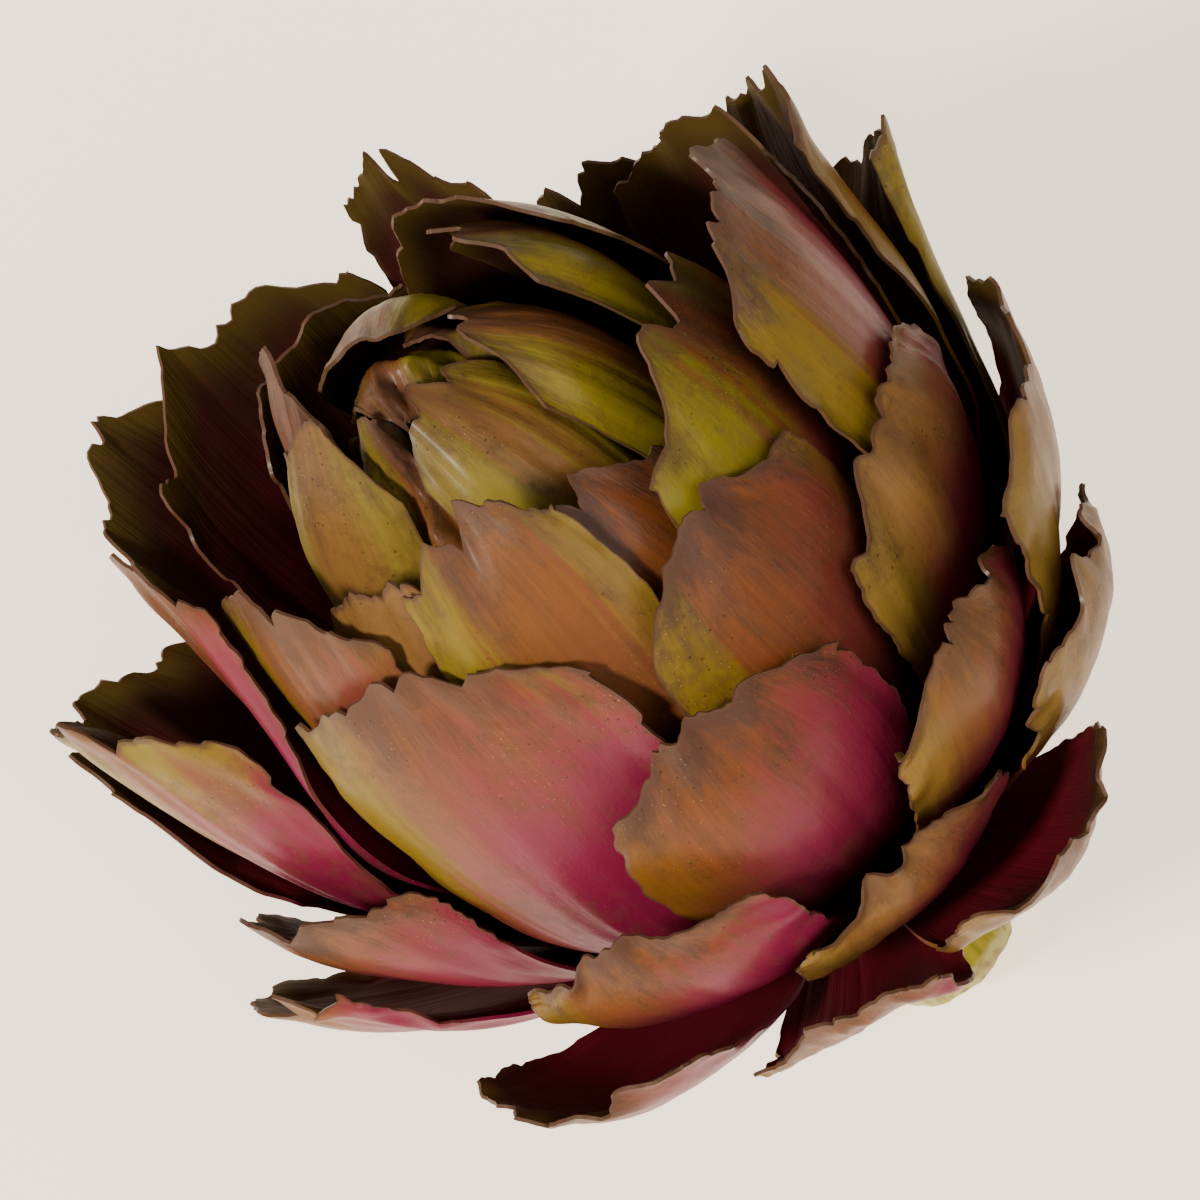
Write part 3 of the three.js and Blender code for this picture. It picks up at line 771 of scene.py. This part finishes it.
# Each whorl's share of pink foot, green cheeks, brown tip and pale gold; the pale gold is partly a painted
# highlight
TONES = {
    "bud": (0.02, 1.1, 0.85, 0.12),
    "upper": (0.30, 0.75, 0.85, 0.10),
    "middle": (0.85, 0.50, 0.80, 0.05),
    "spread": (0.95, 0.40, 0.75, 0.10),
    "low": (1.0, 0.30, 0.65, 0.10),
}

# The bracts that differ from their whorl; a high pale gold share paints a highlight on bracts that catch
# the light
OWN_TONES = {
    "leaf_bud_8": (0.02, 1.3, 0.60, 0.35),
    "leaf_bud_9": (0.02, 1.1, 0.55, 0.50),
    "leaf_bud_12": (0.02, 0.10, 1.0, 0.0),
    "leaf_upper_1": (0.05, 0.60, 1.0, 0.0),
    "leaf_upper_2": (0.50, 0.20, 0.20, 0.50),
    "leaf_upper_3": (0.12, 0.80, 0.75, 0.15),
    "leaf_upper_4": (0.50, 0.65, 0.80, 0.10),
    "leaf_upper_5": (0.35, 1.35, 0.70, 0.0),
    "leaf_upper_8": (0.30, 0.60, 1.0, 0.0),
    "leaf_middle_1": (0.90, 0.70, 0.80, 0.0),
    "leaf_middle_2": (0.85, 0.65, 1.0, 0.0),
    "leaf_middle_4": (1.0, 0.30, 0.40, 0.0),
    "leaf_middle_8": (0.80, 0.50, 0.45, 0.45),
    "leaf_middle_9": (0.75, 0.15, 1.0, 0.0),
    "leaf_spread_3": (0.90, 0.40, 0.70, 0.30),
    "leaf_spread_4": (0.85, 1.4, 0.15, 0.10),
    "leaf_spread_5": (1.0, 0.45, 1.0, 0.10),
    "leaf_spread_6": (0.30, 0.90, 0.30, 0.20),
    "leaf_spread_7": (0.80, 0.50, 0.40, 0.40),
    "leaf_spread_9": (0.70, 0.40, 1.0, 0.10),
    "leaf_spread_13": (0.90, 0.30, 0.70, 0.40),
    "leaf_low_1": (0.60, 0.30, 0.60, 0.60),
    "leaf_low_2": (1.0, 0.10, 0.15, 0.25),
}


def wall_share(rows, columns):
    """The wall's share of its root thickness: whole inside, thin at the tip and the sides."""
    u = np.linspace(0, 1, rows)[:, None]
    v = np.linspace(-1, 1, columns)[None]
    to_rim = np.minimum((1 - u) * 2.6, (1 - np.abs(v)) * 1.6)
    return SKIN_RIM / SKIN_ROOT + (1 - SKIN_RIM / SKIN_ROOT) * ramp(to_rim, 0, 1.6) * (1 - 0.35 * u)


def make_leaf(b, skin):
    """A closed bract from its fine outer face, thick at the root and thin at the rim."""
    piece = shaped_grid(b["name"], lie(skin))
    piece.data.materials.append(OUTSIDE)
    piece.data.materials.append(INSIDE)
    group = piece.vertex_groups.new(name="thick")
    for index, weight in enumerate(wall_share(*skin.shape[:2]).reshape(-1)):
        group.add([index], float(weight), "REPLACE")
    wall = piece.modifiers.new("wall", "SOLIDIFY")
    wall.thickness = SKIN_ROOT * MM
    wall.offset = -1
    wall.vertex_group = "thick"
    wall.material_offset = 1
    apply_modifiers(piece)
    piece.vertex_groups.clear()
    bpy.ops.object.shade_smooth_by_angle(angle=math.radians(60))
    tones = OWN_TONES.get(b["name"], TONES[b["whorl"]])
    for name, value in zip(("seed", "pink", "green", "dusk", "pale"), (b["seed"], *tones)):
        add_value(piece, name, value)
    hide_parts(b["node"])
    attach(piece, "root")
    piece.select_set(False)


def make_stem():
    """The stem, receptacle and core, with faint ribs along the stem."""
    profile = lathe_profile()
    steps = np.concatenate([[0], np.cumsum(np.linalg.norm(np.diff(profile, axis=0), axis=-1))])
    even = np.linspace(0, steps[-1], STEM_ROWS)
    fine = np.stack([np.interp(even, steps, profile[:, k]) for k in (0, 1)], -1)
    grid = turned(fine, STEM_SIDES)
    a = np.linspace(0, 2 * np.pi, STEM_SIDES + 1)[None]
    ribs = RIBBED_SHARE + BROAD_RIB_SHARE * np.cos(BROAD_RIBS * a)
    ribs = ribs + NARROW_RIB_SHARE * np.cos(NARROW_RIBS * a + 1.0)
    on_stem = ramp(fine[:, 1:], 6, -2) * ramp(fine[:, :1], 4, 9)
    grid[..., :2] *= (1 + (ribs - 1) * on_stem)[..., None]
    piece = shaped_grid("stem_and_heart", lie(grid))
    bpy.ops.object.mode_set(mode="EDIT")
    bpy.ops.mesh.select_all(action="SELECT")
    bpy.ops.mesh.remove_doubles(threshold=1e-6)
    bpy.ops.mesh.normals_make_consistent(inside=False)
    bpy.ops.object.mode_set(mode="OBJECT")
    bpy.ops.object.shade_smooth_by_angle(angle=math.radians(45))
    piece.data.materials.append(STEM)
    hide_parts("stem_and_bud")
    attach(piece, "root")
    piece.select_set(False)


def coarse_outers():
    """The outer faces of the solids, each pressed clear of those within it."""
    cushion = Cushion(CELLS)
    cushion.add(sample(turned(lathe_profile(), 20), SAMPLE_STEP))
    outers = {}
    for b in BUD + OPEN:
        grid = coarse_grid(b)
        if b["whorl"] != "bud":
            grid = press_out(grid, cushion)
        cushion.add(sample(grid, SAMPLE_STEP))
        cushion.add(sample(inner_grid(grid), SAMPLE_STEP))
        outers[b["name"]] = grid
    return outers


def sink_bud(skins):
    """Sets each skin of the bud just under those outside it, from outside in."""
    roof = Cushion(SKIN_CELLS, empty=1e3)
    for b in reversed(BUD):
        skin = skins[b["name"]]
        offset = skin - CENTRE
        far = np.linalg.norm(offset, axis=-1)
        sink = np.maximum(0, far + SKIN_GAP - roof.reach(offset))
        sink = np.where(sink > DEEPEST_SINK, 0, sink)
        for _ in range(EVEN_PASSES):
            sink = even_out(sink)
        skin -= offset / far[..., None] * sink[..., None]
        roof.add(sample(skin - normals(skin) * BUD_WALL, SKIN_STEP))


def lift_open(skins):
    """Lifts each open skin just clear of those within it, from inside out."""
    cushion = Cushion(SKIN_CELLS)
    for b in BUD:
        cushion.add(sample(skins[b["name"]], SKIN_STEP))
    for b in OPEN:
        skin = skins[b["name"]]
        offset = skin - normals(skin) * OPEN_WALL - CENTRE
        push = np.maximum(0, cushion.reach(offset) + SKIN_GAP - np.linalg.norm(offset, axis=-1))
        for _ in range(EVEN_PASSES):
            push = even_out(push)
        skin += offset / np.linalg.norm(offset, axis=-1, keepdims=True) * push[..., None]
        cushion.add(sample(skin, SKIN_STEP))


def keep_above_table(skins):
    """Lifts what would come nearer to the table than the gap, level with it."""
    for skin in skins.values():
        height = (skin @ POSE.T + FOOT)[..., 2]
        under = np.minimum(height - TABLE_GAP, 0.0)
        skin -= under[..., None] * POSE.T[:, 2]


outers = coarse_outers()
skins = {b["name"]: fine_skin(b, outers[b["name"]]) for b in BUD + OPEN}
sink_bud(skins)
lift_open(skins)
keep_above_table(skins)
for b in BUD + OPEN:
    make_leaf(b, skins[b["name"]])
make_stem()


# The table, the lights and the camera
bpy.ops.mesh.primitive_plane_add(size=6)
table = bpy.context.object
table.name = "table"
plain = Paint("pale_table")
plain.set(Base_Color=(0.92, 0.85, 0.76, 1), Roughness=0.9,
          Emission_Color=(1.0, 0.83, 0.64, 1), Emission_Strength=1.5)
table.data.materials.append(plain.material)


def soft_light(name, way, distance, size, power, colour=(1, 1, 1)):
    """A soft square light that looks at the head from a way."""
    bpy.ops.object.light_add(type="AREA")
    light = bpy.context.object
    light.name = name
    light.data.size, light.data.energy, light.data.color = size, power, colour
    way = Vector(way).normalized()
    target = Vector((0, 0, 0.05))
    light.location = target + way * distance
    light.rotation_euler = way.to_track_quat("Z", "Y").to_euler()


soft_light("key", (-0.52, -0.52, 0.68), 1.1, 0.16, 15, (1.0, 0.94, 0.85))
soft_light("fill", (0.55, -0.5, 0.9), 1.6, 1.2, 13, (1.0, 0.96, 0.92))
world = bpy.data.worlds.new("room")
world.use_nodes = True
world.node_tree.nodes["Background"].inputs["Color"].default_value = (1.0, 0.94, 0.87, 1)
world.node_tree.nodes["Background"].inputs["Strength"].default_value = 0.34
bpy.context.scene.world = world

# The view: its height over level, its distance, its lens, and how far it moves left and up in mm
VIEW_HEIGHT = math.radians(65)
VIEW_DISTANCE = 0.7
LENS = 183.75
FILM_WIDTH = 36
VIEW_LEFT = 1.156
VIEW_UP = 0.482
right = Vector((1, 0, 0))
up = Vector((0, math.sin(VIEW_HEIGHT), math.cos(VIEW_HEIGHT)))
toward = Vector((0, -math.cos(VIEW_HEIGHT), math.sin(VIEW_HEIGHT)))
pivot = Vector(lie(np.array([0.0, 0.0, 45.0])))
bpy.ops.object.camera_add()
camera = bpy.context.object
camera.data.lens = LENS
camera.data.sensor_width = FILM_WIDTH
camera.data.clip_end = 20
place = pivot + toward * VIEW_DISTANCE - right * VIEW_LEFT * MM + up * VIEW_UP * MM
camera.matrix_world = Matrix.Translation(place) @ Matrix((right, up, toward)).transposed().to_4x4()
bpy.context.scene.camera = camera
